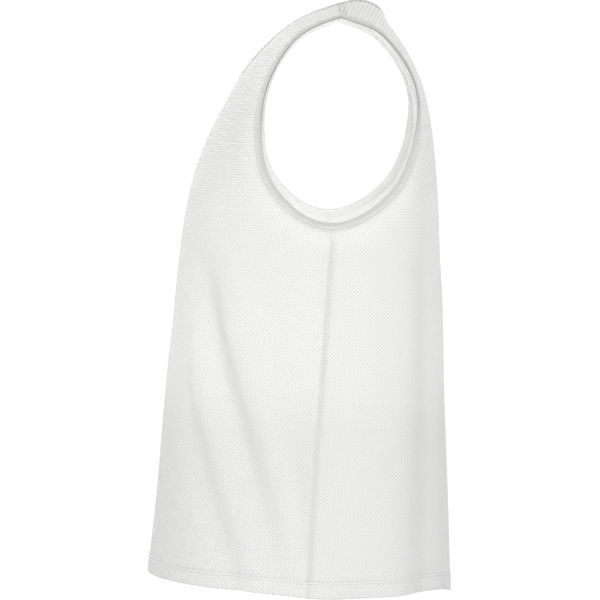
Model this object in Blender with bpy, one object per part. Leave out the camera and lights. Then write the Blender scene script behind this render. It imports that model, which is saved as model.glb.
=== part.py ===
"""Training bib: a sleeveless mesh top, filled out as it is when worn.

Metres, +Z up. The front faces -Y and the wearer's left is +X. The origin is
halfway between the middles of the two shoulder seams, level with the
underside of the straps, where a wearer's shoulders carry the bib.

Each panel is made of sections. A section is a curve from the centre line or
the neck edge out to the side seam or the armhole edge, and the cloth runs
smoothly from one section to the next. Folds push it in or out, and its wall
lies half to each side of it.
"""

import math

import bpy
import numpy as np

CLOTH_WALL = 0.0012
HEM_WALL = 0.0022
HEM_DEPTH = 0.022
HEM_STEP = 0.001
SEAM_GAP = 0.0003

COLUMNS = 14
BODY_ROWS = 11
CHEST_ROWS = 7
STRAP_ROWS = 9
CURVE_STEPS = 120

# The tables are in millimetres, and everything else is in metres.
MM = 0.001

# The side seam ends at the section "underarm", and the centre line at "neck".
# Both panels share the side seam's points and the whole shoulder section.
# section, inner point, near control, far control, outer point
FRONT_SECTIONS = (
    ("hem",      (0, -232.6, -679.5),  (108, -232.6, -677), (187, -150, -676),   (185, -39.6, -686.8)),
    ("hip",      (0, -219.8, -564),    (110, -220, -562),   (191, -140, -562),   (187.5, -33.5, -564)),
    ("waist",    (0, -209.4, -445),    (112, -209.6, -443), (196, -130, -444),   (191.5, -24.7, -443)),
    ("rib",      (0, -200.4, -365),    (114, -200.8, -366), (201, -120, -362),   (196.5, -17, -336)),
    ("underarm", (0, -193.8, -300),    (112, -196.2, -310), (203, -112, -308),   (200.5, -10.7, -253)),
    ("chest",    (0, -181, -220),      (104, -188, -238),   (180, -136, -256),   (190, -59, -233)),
    ("bust",     (0, -155.6, -145),    (85, -168, -171),    (150, -141, -208),   (171.5, -88.5, -195.5)),
    ("neck",     (0, -119.6, -78.9),   (52, -139, -108),    (124, -136, -150),   (157, -97.5, -156)),
    ("scoop",    (53, -108, -64),      (80, -115.5, -83),   (125, -118, -108),   (152.5, -95, -108)),
    ("strap",    (84.7, -83.8, -37.8), (105, -90, -48.5),   (132, -91, -63),     (152, -79.5, -65.5)),
    ("top",      (97.3, -46.8, -9.5),  (114, -50.5, -12.5), (137, -51, -20),     (155, -47, -25.8)),
    ("shoulder", (101.8, -1, 7.7),     (120.5, -0.5, 2.6),  (139.3, 0.3, -1.4),  (158, 1, -5.5)),
)
BACK_SECTIONS = (
    ("hem",      (0, 137.5, -690.5),   (105, 138, -690.5),  (187, 62, -689),     (185, -39.6, -686.8)),
    ("hip",      (0, 133.5, -570),     (108, 134, -568),    (191, 67, -566),     (187.5, -33.5, -564)),
    ("waist",    (0, 129.7, -445),     (110, 130.2, -443),  (195, 72, -444),     (191.5, -24.7, -443)),
    ("rib",      (0, 127.5, -355),     (112, 128.5, -356),  (200, 77, -360),     (196.5, -17, -336)),
    ("underarm", (0, 123.5, -285),     (110, 125.5, -293),  (202, 80, -308),     (200.5, -10.7, -253)),
    ("chest",    (0, 118.2, -195),     (102, 120.8, -207),  (180, 102, -248),    (190, 47.5, -230)),
    ("blade",    (0, 106.5, -108),     (92, 111.5, -130),   (150, 112, -180),    (171, 84.2, -180)),
    ("yoke",     (0, 85, -50),         (78, 94.5, -71),     (126, 100, -109),    (152.5, 93.8, -105)),
    ("neck",     (0, 56.5, -7.4),      (48, 65, -22.5),     (112, 80, -55),      (152.5, 76.5, -58.5)),
    ("scoop",    (47, 52.5, -2),       (76, 56, -10.5),     (120, 62.5, -30),    (155, 58, -34.5)),
    ("turn",     (82.3, 42, 7),        (103, 42.5, 1.8),    (131, 42.5, -10.5),  (156.5, 40, -19.2)),
    ("peak",     (96.2, 24, 12),       (115, 24.5, 7.5),    (137, 23.5, -1),     (157.5, 21.5, -11)),
    ("shoulder", (101.8, -1, 7.7),     (120.5, -0.5, 2.6),  (139.3, 0.3, -1.4),  (158, 1, -5.5)),
)
# The back hem hangs lower at its middle.
BACK_DIP = 0.0135
BACK_DIP_SPREAD = 0.06
BACK_DIP_RISE = 0.30

# Places round the body: 0 is the centre front, 1 the wearer's left side seam,
# -1 the right one, and 2 or -2 the centre back. A positive push is outwards.
# fold, round at top, height at top, round at foot, height at foot, push, half width
FOLDS = (
    ("left_front_trough",    0.34, -250,  0.92, -700,   -9, 32),
    ("left_front_ridge",     0.48, -250,  1.06, -700,  7.5, 34),
    ("left_hip_trough",      0.29, -400,  0.74, -700, -4.5, 27),
    ("left_hip_ridge",       0.26, -290,  0.89, -700,    5, 30),
    ("left_side_trough",     1.00, -290,  1.00, -700,   -3, 26),
    ("left_back_trough",     1.55, -200,  1.56, -700, -4.5, 26),
    ("left_back_ridge",      1.37, -220,  1.39, -700,    3, 30),
    ("left_blade_trough",    1.84, -220,  1.82, -700,   -3, 20),
    ("right_front_trough",  -0.46, -310, -0.86, -700, -7.5, 28),
    ("right_front_ridge",   -0.60, -280, -1.02, -700,  5.5, 28),
    ("right_hip_trough",    -0.36, -500, -0.60, -700, -5.5, 22),
    ("right_hip_ridge",     -0.18, -440, -0.38, -700,  3.5, 26),
    ("right_back_trough",   -1.36, -260, -1.44, -700,   -5, 24),
    ("right_back_ridge",    -1.18, -300, -1.24, -700,  3.5, 26),
    ("right_blade_trough",  -1.70, -240, -1.78, -700, -3.5, 22),
)
FOLD_FADE = 0.12
QUARTER_GIRTH = 0.29

# kind: width across, wall, roll towards the inside in degrees
TAPES = {
    "armhole": (7.2, 2.0, 42),
    "neck":    (6.8, 2.0, 18),
}
TAPE_STEPS = 3

CLOTH_COLOUR = (.83, .83, .82, 1.0)
TAPE_COLOUR = (.80, .80, .79, 1.0)
CLOTH_ROUGHNESS = 0.8
SHARP_ANGLE = math.radians(45)


def clear_scene():
    for thing in list(bpy.data.objects):
        bpy.data.objects.remove(thing, do_unlink=True)


def make_material(name, colour):
    material = bpy.data.materials.new(name)
    material.use_nodes = True
    shader = material.node_tree.nodes["Principled BSDF"]
    shader.inputs["Base Color"].default_value = colour
    shader.inputs["Roughness"].default_value = CLOTH_ROUGHNESS
    shader.inputs["Metallic"].default_value = 0.0
    return material


def unit(vectors):
    return vectors / np.linalg.norm(vectors, axis=-1, keepdims=True)


def smooth_path(keys, points, at):
    """Cubic spline through the points at their keys, read at other keys."""
    gaps = np.diff(keys)
    chords = np.diff(points, axis=0) / gaps[:, None]
    system = np.eye(len(keys))
    pull = np.zeros_like(points)
    for i in range(1, len(gaps)):
        system[i, i - 1:i + 2] = gaps[i - 1], 2 * (gaps[i - 1] + gaps[i]), gaps[i]
        pull[i] = 6 * (chords[i] - chords[i - 1])
    bends = np.linalg.solve(system, pull)
    span = np.clip(np.searchsorted(keys, at, side="right") - 1, 0, len(gaps) - 1)
    gap = gaps[span][:, None]
    after = at[:, None] - keys[span][:, None]
    before = gap - after
    straight = (before * points[span] + after * points[span + 1]) / gap
    bent = ((before ** 3 / gap - before * gap) * bends[span]
            + (after ** 3 / gap - after * gap) * bends[span + 1]) / 6
    return straight + bent


def cornered_path(keys, points, corner, lead, at):
    """A spline up to a corner, then one that comes smoothly from the lead points."""
    below = smooth_path(keys[:corner + 1], points[:corner + 1], at)
    lead_steps = np.linalg.norm(np.diff(np.vstack((points[corner], lead)), axis=0), axis=1)
    own_step = np.linalg.norm(points[corner + 1] - points[corner])
    scale = (keys[corner + 1] - keys[corner]) / own_step
    lead_keys = keys[corner] - np.cumsum(lead_steps) * scale
    above = smooth_path(np.concatenate((lead_keys[::-1], keys[corner:])),
                        np.vstack((lead[::-1], points[corner:])), at)
    return np.where((at <= keys[corner])[:, None], below, above)


def section_curve(controls, shares):
    """Bezier through four controls, read at shares of its length."""
    along = np.linspace(0, 1, CURVE_STEPS)[:, None]
    curve = ((1 - along) ** 3 * controls[0] + 3 * (1 - along) ** 2 * along * controls[1]
             + 3 * (1 - along) * along ** 2 * controls[2] + along ** 3 * controls[3])
    steps = np.linalg.norm(np.diff(curve, axis=0), axis=1)
    length = np.concatenate(([0], np.cumsum(steps)))
    places = shares * length[-1]
    return np.stack([np.interp(places, length, curve[:, axis]) for axis in range(3)], axis=1)


class Sections:
    """The section table of one panel, as arrays."""

    def __init__(self, table):
        names = [row[0] for row in table]
        self.underarm = names.index("underarm")
        self.neck = names.index("neck")
        controls = np.array([row[1:] for row in table]) * MM
        self.inner, self.near, self.far, self.outer = controls.swapaxes(0, 1)
        inner_steps = np.linalg.norm(np.diff(self.inner, axis=0), axis=1)
        outer_steps = np.linalg.norm(np.diff(self.outer, axis=0), axis=1)
        steps = (inner_steps + outer_steps) / 2
        steps[:self.underarm] = outer_steps[:self.underarm]
        self.keys = np.concatenate(([0], np.cumsum(steps)))

    def rows(self):
        """Keys of the grid's rows, from the hem to the shoulder."""
        underarm = self.keys[self.underarm]
        neck = self.keys[self.neck]
        return np.concatenate((
            [0, HEM_DEPTH],
            np.linspace(HEM_DEPTH + HEM_STEP, underarm, BODY_ROWS),
            np.linspace(underarm, neck, CHEST_ROWS + 1)[1:],
            np.linspace(neck, self.keys[-1], STRAP_ROWS + 1)[1:],
        ))

    def grid(self, other):
        """Points of the panel's left half; the other panel goes on past the underarm."""
        rows = self.rows()
        mirrored = self.inner[self.neck + 1:self.neck + 3] * (-1, 1, 1)
        beyond = other.outer[other.underarm + 1:other.underarm + 3]
        paths = np.stack((
            cornered_path(self.keys, self.inner, self.neck, mirrored, rows),
            smooth_path(self.keys, self.near, rows),
            smooth_path(self.keys, self.far, rows),
            cornered_path(self.keys, self.outer, self.underarm, beyond, rows),
        ), axis=1)
        shares = np.linspace(0, 1, COLUMNS + 1)
        return np.array([section_curve(controls, shares) for controls in paths])


UNDERARM_ROW = 1 + BODY_ROWS
NECK_ROW = UNDERARM_ROW + CHEST_ROWS


def fold_push(around, height):
    """How far the folds move the cloth outwards at places round the body."""
    push = np.zeros_like(height)
    for _name, round_top, high, round_foot, low, depth, half_width in FOLDS:
        below = high * MM - height
        share = below / ((high - low) * MM)
        middle = round_top + (round_foot - round_top) * np.clip(share, 0, 1)
        across = np.abs(around - middle)
        across = np.minimum(across, 4 - across) * QUARTER_GIRTH
        fade = np.clip(below / FOLD_FADE, 0, 1)
        fade = fade * fade * (3 - 2 * fade)
        push += depth * MM * fade * np.exp(-(across / (half_width * MM)) ** 2)
    return push


def back_dip(grid):
    """How much lower the back hangs towards the middle of its hem."""
    rise = np.clip((grid[:, :, 2] - grid[0, 0, 2]) / BACK_DIP_RISE, 0, 1)
    return BACK_DIP * (1 - rise) ** 2 * np.exp(-(grid[:, :, 0] / BACK_DIP_SPREAD) ** 2)


class Half:
    """One half of a panel: its grid of points and their outward normals."""

    def __init__(self, sections, other, side, is_front):
        self.turn = side if is_front else -side
        shares = np.linspace(0, 1, COLUMNS + 1)
        self.around = side * (shares if is_front else 2 - shares)
        self.grid = sections.grid(other) * (side, 1, 1)
        if not is_front:
            self.grid[:, :, 2] -= back_dip(self.grid)
        self.normals = self.find_normals()

    def find_normals(self):
        rise = np.gradient(self.grid, axis=0)
        run = np.gradient(self.grid, axis=1)
        return unit(np.cross(run, rise)) * self.turn

    def fold(self):
        push = fold_push(self.around[None, :], self.grid[:, :, 2])
        self.grid += self.normals * push[:, :, None]
        self.normals = self.find_normals()


def share_normals(one, other):
    """Gives two edges that meet the mean of their normals."""
    mean = unit(one + other)
    one[...] = mean
    other[...] = mean


def share_seam_normals(halves):
    """Shares the normals along the side seams, the shoulder seams and the centre lines."""
    for side in (1, -1):
        front = halves["front", side].normals
        back = halves["back", side].normals
        share_normals(front[:UNDERARM_ROW + 1, -1], back[:UNDERARM_ROW + 1, -1])
        share_normals(front[-1], back[-1])
    for panel in ("front", "back"):
        left = halves[panel, 1].normals
        right = halves[panel, -1].normals
        share_normals(left[:NECK_ROW + 1, 0], right[:NECK_ROW + 1, 0])


def make_halves():
    """Front and back halves on both sides, folded, with edges that meet."""
    front_sections = Sections(FRONT_SECTIONS)
    back_sections = Sections(BACK_SECTIONS)
    halves = {}
    for side in (1, -1):
        halves["front", side] = Half(front_sections, back_sections, side, True)
        halves["back", side] = Half(back_sections, front_sections, side, False)
    share_seam_normals(halves)
    for half in halves.values():
        half.fold()
    share_seam_normals(halves)
    return halves


def leaving(edge, normals, inside):
    """Directions in the cloth, square to an edge and away from the points inside."""
    along = np.gradient(edge, axis=0)
    across = unit(np.cross(normals, along))
    facing = np.sum(across * (edge - inside), axis=-1, keepdims=True)
    return np.where(facing < 0, -across, across)


def open_seams(half):
    """The half's grid with its side seam and shoulder seam drawn back."""
    grid = half.grid.copy()
    seam = slice(0, UNDERARM_ROW + 1)
    side_leaving = leaving(half.grid[seam, -1], half.normals[seam, -1], half.grid[seam, -3])
    top_leaving = leaving(half.grid[-1], half.normals[-1], half.grid[-3])
    grid[seam, -1] -= side_leaving * SEAM_GAP / 2
    grid[-1] -= top_leaving * SEAM_GAP / 2
    return grid


def split_face(corners, points):
    """Two triangles of a four-sided face, cut along its shorter diagonal."""
    first, second, third, fourth = corners
    one_way = np.linalg.norm(points[first] - points[third])
    other_way = np.linalg.norm(points[second] - points[fourth])
    if one_way < other_way:
        return (first, second, third), (first, third, fourth)
    return (second, third, fourth), (second, fourth, first)


def border_edges(faces):
    """Directed edges of the faces that no other face shares."""
    edges = [(face[i], face[(i + 1) % len(face)]) for face in faces for i in range(len(face))]
    known = set(edges)
    return [(start, end) for start, end in edges if (end, start) not in known]


def add_solid(name, vertices, faces, material):
    mesh = bpy.data.meshes.new(name)
    mesh.from_pydata([tuple(vertex) for vertex in vertices], [], faces)
    mesh.materials.append(material)
    mesh.shade_smooth()
    mesh.set_sharp_from_angle(angle=SHARP_ANGLE)
    solid = bpy.data.objects.new(name, mesh)
    bpy.context.collection.objects.link(solid)
    return solid


def make_panel(name, left, right, material):
    """A panel's wall: both halves, joined along the centre below the neck."""
    points, normals, walls, faces = [], [], [], []
    for half in (left, right):
        grid = open_seams(half)
        rows, columns = grid.shape[:2]
        index = np.empty((rows, columns), dtype=int)
        for row in range(rows):
            for column in range(columns):
                if half is right and column == 0 and row <= NECK_ROW:
                    index[row, column] = row * columns
                    continue
                index[row, column] = len(points)
                points.append(grid[row, column])
                normals.append(half.normals[row, column])
                walls.append(HEM_WALL if row < 2 else CLOTH_WALL)
        for row in range(rows - 1):
            for column in range(columns - 1):
                steps = ((0, 0), (0, 1), (1, 1), (1, 0))
                corners = [int(index[row + up, column + out]) for up, out in steps]
                faces += split_face(corners[::half.turn], points)
    offset = np.array(normals) * np.array(walls)[:, None] / 2
    vertices = np.concatenate((points + offset, points - offset))
    count = len(points)
    wall = list(faces)
    wall += [tuple(corner + count for corner in reversed(face)) for face in faces]
    wall += [(end, start, start + count, end + count) for start, end in border_edges(faces)]
    return add_solid(name, vertices, wall, material)


def tape_profile(width, wall, turn):
    """Rolled strip, as distances away from the panel's edge and outwards."""
    radius = width / turn
    sides = {wall / 2: [], -wall / 2: []}
    for offset, line in sides.items():
        for step in range(TAPE_STEPS + 1):
            angle = turn * step / TAPE_STEPS
            line.append((SEAM_GAP + (radius + offset) * math.sin(angle),
                         (radius + offset) * math.cos(angle) - radius))
    lip = (SEAM_GAP + radius * math.sin(turn) + wall / 3 * math.cos(turn),
           radius * math.cos(turn) - radius - wall / 3 * math.sin(turn))
    return sides[wall / 2] + [lip] + sides[-wall / 2][::-1]


def make_tape(name, kind, edge, normals, inside, material):
    """A binding that leaves a closed edge of the panels, all the way round."""
    ends = slice(1, -1)
    looped = [np.vstack((line[-1:], line, line[:1])) for line in (edge, normals, inside)]
    away = leaving(*looped)[ends]
    width, wall, roll = TAPES[kind]
    profile = tape_profile(width * MM, wall * MM, math.radians(roll))
    vertices = [point + across * distance + normal * height
                for point, across, normal in zip(edge, away, normals)
                for distance, height in profile]
    rings = len(edge)
    sides = len(profile)
    along = edge[1] - edge[0]
    turn = 1 if np.cross(away[0], along) @ normals[0] > 0 else -1
    faces = []
    for ring in range(rings):
        for side in range(sides):
            near = ring * sides
            far = (ring + 1) % rings * sides
            beside = (side + 1) % sides
            faces.append((near + side, near + beside, far + beside, far + side)[::turn])
    return add_solid(name, vertices, faces, material)


def armhole_edge(halves, side):
    """Closed armhole edge: up the front to the shoulder, then down the back."""
    front = halves["front", side]
    back = halves["back", side]
    lines = []
    for part, column in (("grid", -1), ("normals", -1), ("grid", -3)):
        up = getattr(front, part)[UNDERARM_ROW:, column]
        down = getattr(back, part)[UNDERARM_ROW + 1:-1, column][::-1]
        lines.append(np.concatenate((up, down)))
    return lines


def neck_edge(halves):
    """Closed neck edge: left front, left back, right back and right front."""
    lines = []
    for part, column in (("grid", 0), ("normals", 0), ("grid", 2)):
        left_front, left_back, right_back, right_front = (
            getattr(halves[key], part)[NECK_ROW:, column]
            for key in (("front", 1), ("back", 1), ("back", -1), ("front", -1)))
        lines.append(np.concatenate(
            (left_front, left_back[:-1][::-1], right_back[1:], right_front[1:-1][::-1])))
    return lines


def build_bib():
    cloth = make_material("mesh_cloth", CLOTH_COLOUR)
    tape = make_material("binding_tape", TAPE_COLOUR)
    halves = make_halves()
    make_panel("front_panel", halves["front", 1], halves["front", -1], cloth)
    make_panel("back_panel", halves["back", 1], halves["back", -1], cloth)
    make_tape("neck_binding", "neck", *neck_edge(halves), tape)
    make_tape("armhole_binding_left", "armhole", *armhole_edge(halves, 1), tape)
    make_tape("armhole_binding_right", "armhole", *armhole_edge(halves, -1), tape)


clear_scene()
build_bib()
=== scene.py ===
"""Looks of a white mesh training bib, filled out as when it is worn.

Metres, +Z up. The front faces -Y and the wearer's left is +X. Each panel is a
thin sheet on the form that its solid has, with the finer creases, the folded
hem, the seams, the bindings and the stitches that the real bib has.
"""

import math

import bpy
import numpy as np
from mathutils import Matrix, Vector


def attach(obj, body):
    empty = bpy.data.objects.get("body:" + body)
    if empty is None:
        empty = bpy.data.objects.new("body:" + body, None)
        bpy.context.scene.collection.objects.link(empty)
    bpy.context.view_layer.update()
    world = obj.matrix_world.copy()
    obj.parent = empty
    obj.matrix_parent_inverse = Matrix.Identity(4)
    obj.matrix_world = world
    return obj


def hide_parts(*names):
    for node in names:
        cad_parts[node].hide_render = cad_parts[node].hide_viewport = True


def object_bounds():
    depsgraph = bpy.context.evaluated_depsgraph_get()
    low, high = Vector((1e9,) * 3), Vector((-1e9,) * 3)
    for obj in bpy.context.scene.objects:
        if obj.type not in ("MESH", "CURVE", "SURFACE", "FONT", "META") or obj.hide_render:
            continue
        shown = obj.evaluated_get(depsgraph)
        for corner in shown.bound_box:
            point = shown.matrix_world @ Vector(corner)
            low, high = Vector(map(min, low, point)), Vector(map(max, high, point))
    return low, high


# The tables of the form and of its folds are in millimetres, and everything else is in metres.
MM = 0.001
TURN = 2 * math.pi

# The side seam ends at the section "underarm", and the centre line at "neck".
# Both panels share the side seam's points and the whole shoulder section.
# section, inner point, near control, far control, outer point
FRONT_SECTIONS = (
    ("hem", (0, -232.6, -679.5), (108, -232.6, -677), (187, -150, -676), (185, -39.6, -686.8)),
    ("hip", (0, -219.8, -564), (110, -220, -562), (191, -140, -562), (187.5, -33.5, -564)),
    ("waist", (0, -209.4, -445), (112, -209.6, -443), (196, -130, -444), (191.5, -24.7, -443)),
    ("rib", (0, -200.4, -365), (114, -200.8, -366), (201, -120, -362), (196.5, -17, -336)),
    ("underarm", (0, -193.8, -300), (112, -196.2, -310), (203, -112, -308), (200.5, -10.7, -253)),
    ("chest", (0, -181, -220), (104, -188, -238), (180, -136, -256), (190, -59, -233)),
    ("bust", (0, -155.6, -145), (85, -168, -171), (150, -141, -208), (171.5, -88.5, -195.5)),
    ("neck", (0, -119.6, -78.9), (52, -139, -108), (124, -136, -150), (157, -97.5, -156)),
    ("scoop", (53, -108, -64), (80, -115.5, -83), (125, -118, -108), (152.5, -95, -108)),
    ("strap", (84.7, -83.8, -37.8), (105, -90, -48.5), (132, -91, -63), (152, -79.5, -65.5)),
    ("top", (97.3, -46.8, -9.5), (114, -50.5, -12.5), (137, -51, -20), (155, -47, -25.8)),
    ("shoulder", (101.8, -1, 7.7), (120.5, -0.5, 2.6), (139.3, 0.3, -1.4), (158, 1, -5.5)),
)
BACK_SECTIONS = (
    ("hem", (0, 137.5, -690.5), (105, 138, -690.5), (187, 62, -689), (185, -39.6, -686.8)),
    ("hip", (0, 133.5, -570), (108, 134, -568), (191, 67, -566), (187.5, -33.5, -564)),
    ("waist", (0, 129.7, -445), (110, 130.2, -443), (195, 72, -444), (191.5, -24.7, -443)),
    ("rib", (0, 127.5, -355), (112, 128.5, -356), (200, 77, -360), (196.5, -17, -336)),
    ("underarm", (0, 123.5, -285), (110, 125.5, -293), (202, 80, -308), (200.5, -10.7, -253)),
    ("chest", (0, 118.2, -195), (102, 120.8, -207), (180, 102, -248), (190, 47.5, -230)),
    ("blade", (0, 106.5, -108), (92, 111.5, -130), (150, 112, -180), (171, 84.2, -180)),
    ("yoke", (0, 85, -50), (78, 94.5, -71), (126, 100, -109), (152.5, 93.8, -105)),
    ("neck", (0, 56.5, -7.4), (48, 65, -22.5), (112, 80, -55), (152.5, 76.5, -58.5)),
    ("scoop", (47, 52.5, -2), (76, 56, -10.5), (120, 62.5, -30), (155, 58, -34.5)),
    ("turn", (82.3, 42, 7), (103, 42.5, 1.8), (131, 42.5, -10.5), (156.5, 40, -19.2)),
    ("peak", (96.2, 24, 12), (115, 24.5, 7.5), (137, 23.5, -1), (157.5, 21.5, -11)),
    ("shoulder", (101.8, -1, 7.7), (120.5, -0.5, 2.6), (139.3, 0.3, -1.4), (158, 1, -5.5)),
)
BACK_DIP = 0.0135
BACK_DIP_SPREAD = 0.06
BACK_DIP_RISE = 0.30

# Places round the body: 0 is the centre front, 1 the wearer's left side seam,
# -1 the right one, and 2 or -2 the centre back. A positive push is outwards.
# fold, round at top, height at top, round at foot, height at foot, push, half width
FOLDS = (
    ("left_front_trough",    0.34, -250,  0.92, -700,   -9, 32),
    ("left_front_ridge",     0.48, -250,  1.06, -700,  7.5, 34),
    ("left_hip_trough",      0.29, -400,  0.74, -700, -4.5, 27),
    ("left_hip_ridge",       0.26, -290,  0.89, -700,    5, 30),
    ("left_side_trough",     1.00, -290,  1.00, -700,   -3, 26),
    ("left_back_trough",     1.55, -200,  1.56, -700, -4.5, 26),
    ("left_back_ridge",      1.37, -220,  1.39, -700,    3, 30),
    ("left_blade_trough",    1.84, -220,  1.82, -700,   -3, 20),
    ("right_front_trough",  -0.46, -310, -0.86, -700, -7.5, 28),
    ("right_front_ridge",   -0.60, -280, -1.02, -700,  5.5, 28),
    ("right_hip_trough",    -0.36, -500, -0.60, -700, -5.5, 22),
    ("right_hip_ridge",     -0.18, -440, -0.38, -700,  3.5, 26),
    ("right_back_trough",   -1.36, -260, -1.44, -700,   -5, 24),
    ("right_back_ridge",    -1.18, -300, -1.24, -700,  3.5, 26),
    ("right_blade_trough",  -1.70, -240, -1.78, -700, -3.5, 22),
)
FOLD_FADE = 0.12
QUARTER_GIRTH = 0.29

# Finer creases, each along points given from its top down: round, height, push, half width.
CREASES = {
    "left_front_trough": ((.3, -260, 0, 24), (.38, -321, -2.5, 24), (.48, -375, -3.8, 24),
        (.59, -436, -5, 23), (.675, -491, -5.5, 22), (.755, -552, -5, 21), (.81, -614, -4.2, 20),
        (.84, -660, -3, 18), (.85, -690, -2, 18)),
    "left_front_ridge": ((.49, -285, 0, 22), (.555, -321, 1.8, 24), (.65, -375, 3, 24),
        (.76, -436, 4.4, 24), (.845, -491, 4.8, 22), (.915, -552, 4.2, 19), (.955, -614, 3, 16),
        (.975, -660, 1.5, 15)),
    "left_wide_ridge": ((.6, -321, 0, 30), (.7, -375, 2, 30), (.81, -436, 3, 30),
        (.88, -491, 2.5, 26), (.93, -552, 1, 22), (.96, -600, 0, 20)),
    "left_side_trough": ((.7, -300, 0, 12), (.75, -337, -1.6, 12), (.82, -372, -1.8, 12),
        (.89, -408, -1.4, 12), (.95, -445, 0, 12)),
    "left_side_ridge": ((.78, -305, 0, 12), (.84, -337, 1.4, 12), (.905, -372, 1.5, 12),
        (.955, -405, 0, 12)),
    "left_seam_trough": ((1, -300, 0, 22), (1, -360, -1.5, 22), (1, -440, -2.5, 20),
        (1, -540, -2.5, 18), (1, -640, -2, 18), (1, -685, -1, 18)),
    "left_hip_trough": ((.32, -420, 0, 18), (.43, -495, -1.8, 20), (.52, -556, -3.8, 20),
        (.62, -609, -4.6, 19), (.69, -660, -4.2, 17), (.72, -690, -3, 17)),
    "left_hip_ridge": ((.33, -340, 0, 24), (.39, -375, 1.2, 24), (.5, -436, 2.5, 24),
        (.59, -491, 3, 22), (.68, -552, 3, 21), (.77, -614, 3, 19), (.83, -660, 2.4, 17)),
    "left_front_line": ((.3, -310, 0, 8), (.33, -342, -.7, 8), (.38, -420, -1, 7),
        (.41, -500, -.8, 7), (.43, -560, 0, 8)),
    "left_chest_pull": ((.8, -205, 0, 12), (.7, -225, -.8, 12), (.58, -245, -.9, 14),
        (.46, -262, 0, 14)),
    "left_arm_pull_low": ((.965, -266, -.7, 6), (.9, -282, -.9, 9), (.83, -305, -.6, 11),
        (.78, -325, 0, 12)),
    "left_arm_pull_back": ((1.03, -268, -.6, 6), (1.08, -288, -.8, 9), (1.12, -318, -.5, 11),
        (1.14, -350, 0, 12)),
    "left_back_swell": ((1.1, -262, 0, 22), (1.15, -300, 1.4, 24), (1.2, -370, 1.8, 24),
        (1.22, -440, 1.6, 24), (1.23, -540, .8, 24), (1.24, -620, 0, 24)),
    "left_back_ridge": ((1.41, -200, 0, 18), (1.42, -264, 1, 18), (1.44, -340, 1.4, 18),
        (1.46, -430, 1.4, 18), (1.47, -520, 1.2, 18), (1.47, -600, .8, 18), (1.47, -680, .5, 18)),
    "left_back_trough": ((1.55, -230, 0, 16), (1.58, -320, -1.4, 16), (1.6, -420, -2, 16),
        (1.62, -526, -2, 16), (1.62, -620, -1.6, 16), (1.62, -685, -1, 16)),
    "right_front_trough": ((-.42, -285, 0, 12), (-.5, -335, -2, 12), (-.6, -410, -3, 11),
        (-.7, -490, -3.4, 10), (-.79, -570, -2.8, 10), (-.86, -640, -1.8, 10),
        (-.9, -685, -1.2, 10)),
    "right_front_ridge": ((-.56, -330, 0, 14), (-.68, -405, 1.8, 14), (-.8, -490, 2.2, 13),
        (-.89, -575, 1.8, 12), (-.96, -650, .8, 12)),
    "right_side_trough": ((-.7, -268, 0, 12), (-.8, -305, -1.8, 11), (-.9, -350, -2, 10),
        (-.97, -405, -.8, 9), (-.99, -440, 0, 9)),
    "right_hip_trough": ((-.3, -485, 0, 10), (-.39, -535, -2, 10), (-.48, -590, -2.6, 9),
        (-.55, -640, -1.8, 9), (-.6, -682, -1, 9)),
    "right_front_line": ((-.26, -345, 0, 6), (-.3, -420, -1, 6), (-.33, -510, -1.3, 5),
        (-.35, -590, -.8, 6), (-.36, -640, 0, 6)),
    "right_chest_pull": ((-.82, -210, 0, 10), (-.72, -232, -1, 10), (-.6, -250, -1, 12),
        (-.5, -262, 0, 14)),
    "right_arm_pull_low": ((-.96, -268, -.9, 5), (-.89, -288, -1.1, 7), (-.82, -315, 0, 9)),
    "right_arm_pull_back": ((-1.035, -268, -.8, 5), (-1.09, -292, -1.1, 7), (-1.13, -330, 0, 10)),
    "right_back_trough": ((-1.34, -215, 0, 12), (-1.38, -290, -2.2, 12), (-1.44, -390, -2.8, 12),
        (-1.5, -500, -2.8, 12), (-1.54, -610, -2.2, 12), (-1.56, -685, -1.4, 12)),
    "right_back_ridge": ((-1.58, -260, 0, 14), (-1.64, -350, 1.6, 14), (-1.69, -470, 1.8, 13),
        (-1.72, -590, 1.4, 13), (-1.73, -680, .8, 13)),
    "right_side_swell": ((-1.08, -280, 0, 16), (-1.11, -350, 1.8, 18), (-1.14, -450, 2, 18),
        (-1.16, -560, 1, 18), (-1.17, -650, 0, 18)),
    "front_middle_left": ((.06, -330, 0, 9), (.08, -420, -1, 9), (.12, -520, -1.6, 8),
        (.15, -610, -1.4, 8), (.17, -676, -.8, 8)),
    "front_middle_right": ((-.07, -380, 0, 10), (-.1, -470, -1, 9), (-.12, -560, -1.2, 9),
        (-.13, -650, -.8, 8), (-.13, -680, -.5, 8)),
    "front_neck_left": ((.13, -112, 0, 9), (.17, -140, -.8, 10), (.23, -180, -.8, 12),
        (.28, -220, 0, 14)),
    "front_neck_right": ((-.16, -116, 0, 9), (-.2, -146, -.8, 10), (-.25, -190, -.6, 12),
        (-.28, -225, 0, 14)),
    "back_middle": ((1.96, -240, 0, 12), (1.95, -330, -1.2, 12), (1.97, -450, -2, 11),
        (1.98, -570, -2, 10), (1.99, -690, -1.2, 10)),
    "back_low_left": ((1.88, -430, 0, 10), (1.88, -520, 1.4, 12), (1.89, -610, 1.6, 12),
        (1.9, -692, 1, 12)),
    "back_low_right": ((-1.9, -400, 0, 10), (-1.89, -500, 1.4, 12), (-1.88, -600, 1.6, 12),
        (-1.88, -690, 1, 12)),
    "back_blade_left": ((1.6, -150, 0, 12), (1.66, -190, -1, 12), (1.72, -250, -1.2, 12),
        (1.75, -320, 0, 12)),
    "back_blade_right": ((-1.58, -150, 0, 12), (-1.64, -195, -1, 12), (-1.7, -260, -1.2, 12),
        (-1.72, -330, 0, 12)),
}

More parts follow.
